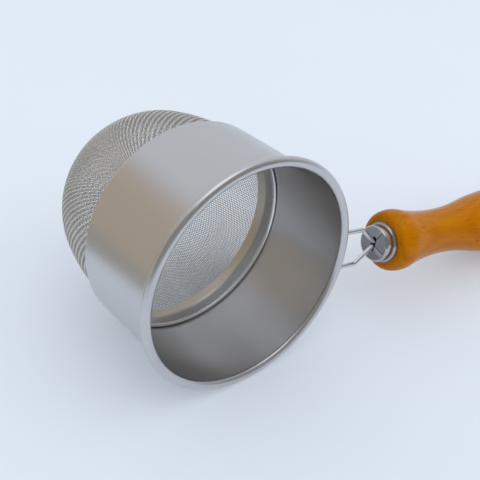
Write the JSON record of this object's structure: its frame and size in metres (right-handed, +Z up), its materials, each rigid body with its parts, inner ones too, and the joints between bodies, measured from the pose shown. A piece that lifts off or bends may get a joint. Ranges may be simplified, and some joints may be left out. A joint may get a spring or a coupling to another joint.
{
  "type": "flour sifter",
  "caption": "Hand-held flour sifter: a short steel drum with a rolled rim and a deep woven-wire bowl, on a wire bracket with a turned wooden handle.",
  "frame": {"origin": "on the table at the middle of the whole box, with the sifter lying on its rim, the foot of its drum and the belly of its handle", "axes": "+Z up from the table, +X along the handle away from the drum, -Y the way the drum's mouth faces (4.5 degrees upwards and 3.4 degrees towards +X)"},
  "size_m": [0.2478, 0.1102, 0.0965],
  "materials": {
    "drum_steel": "satin stainless sheet",
    "ring_steel": "satin stainless strip",
    "wire_steel": "bright drawn stainless wire",
    "woven_wire": "fine plain-weave stainless wire cloth",
    "cap_chrome": "mirror chrome plate",
    "varnished_wood": "amber gloss varnish over turned hardwood",
    "cured_resin": "cured two-part resin"
  },
  "bodies": {
    "root": {"drum": "drum_steel", "rim_wire": "wire_steel", "clamp_ring": "ring_steel", "mesh_bowl": "woven_wire", "bracket_wire": "wire_steel", "tang_adhesive": "cured_resin", "ferrule_cap": "cap_chrome", "handle": "varnished_wood"}
  },
  "joints": []
}
